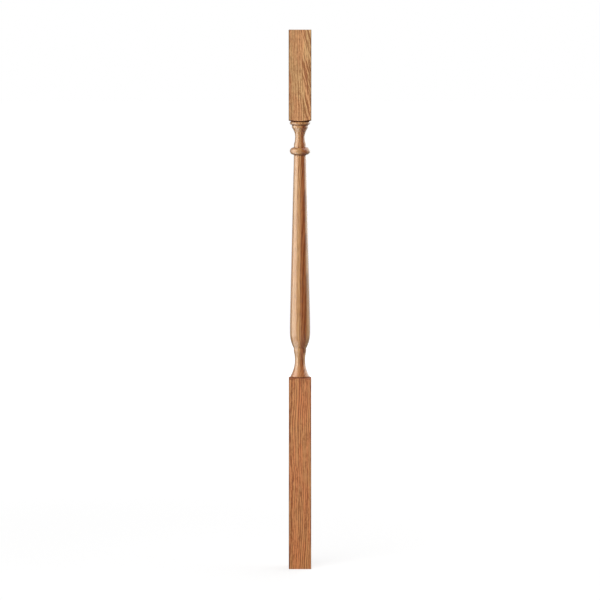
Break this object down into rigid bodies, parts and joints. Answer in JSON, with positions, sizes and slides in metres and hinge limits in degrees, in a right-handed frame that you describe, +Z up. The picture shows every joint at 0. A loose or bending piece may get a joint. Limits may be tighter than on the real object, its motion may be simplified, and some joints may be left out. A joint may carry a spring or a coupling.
{
  "type": "stair baluster",
  "caption": "Square-top wooden stair baluster: a slim turned shaft with a collar and beads between plain square top and base blocks, which fixes to a tread below and a handrail above.",
  "frame": {"origin": "centre of the base end, the face that stands on the tread", "axes": "+Z up along the axis of the turning, from the tread to the handrail; the faces of the square blocks look along X and Y"},
  "size_m": [0.0444, 0.0444, 1.0668],
  "materials": {
    "oak": "satin clear lacquer on red oak"
  },
  "bodies": {
    "root": {"turned_baluster": "oak"}
  },
  "joints": []
}
